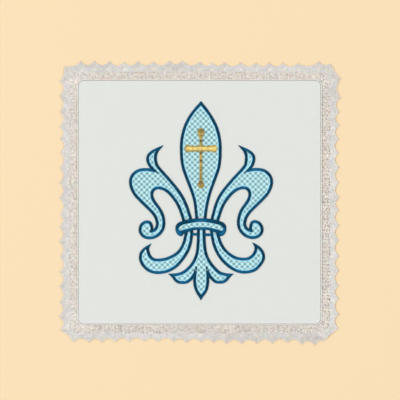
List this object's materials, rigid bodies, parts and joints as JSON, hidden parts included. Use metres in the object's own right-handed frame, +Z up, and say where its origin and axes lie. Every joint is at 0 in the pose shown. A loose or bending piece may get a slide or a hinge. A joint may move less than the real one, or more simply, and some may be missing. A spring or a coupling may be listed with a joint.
{
  "type": "chalice pall",
  "caption": "Stiff square linen cover for a chalice, edged with narrow toothed lace and embroidered with a fleur-de-lis and a Latin cross.",
  "frame": {"origin": "centre of the square, on its underside, where the pall rests", "axes": "+Z up out of the embroidered face, +X to the right of the emblem, +Y towards the tip of the fleur-de-lis"},
  "size_m": [0.1854, 0.1873, 0.0049],
  "materials": {
    "linen": "fine plain-woven white linen, matte",
    "lace": "off-white cotton lace with a warm metallic heading",
    "satin_thread": "dark blue satin stitch, silky",
    "net_thread": "pale aqua net fill of crossing threads, silky",
    "gold_thread": "gold metallic satin stitch"
  },
  "bodies": {
    "root": {"linen_panel": "linen", "lace_edging": "lace", "satin_centre_petal": "satin_thread", "satin_left_petal": "satin_thread", "satin_right_petal": "satin_thread", "satin_left_tail": "satin_thread", "satin_right_tail": "satin_thread", "satin_foot": "satin_thread", "satin_band": "satin_thread", "satin_rim_left": "satin_thread", "satin_rim_right": "satin_thread", "net_centre_petal": "net_thread", "net_left_petal": "net_thread", "net_right_petal": "net_thread", "net_left_tail": "net_thread", "net_right_tail": "net_thread", "net_foot": "net_thread", "net_band": "net_thread", "gold_cross": "gold_thread"}
  },
  "joints": []
}
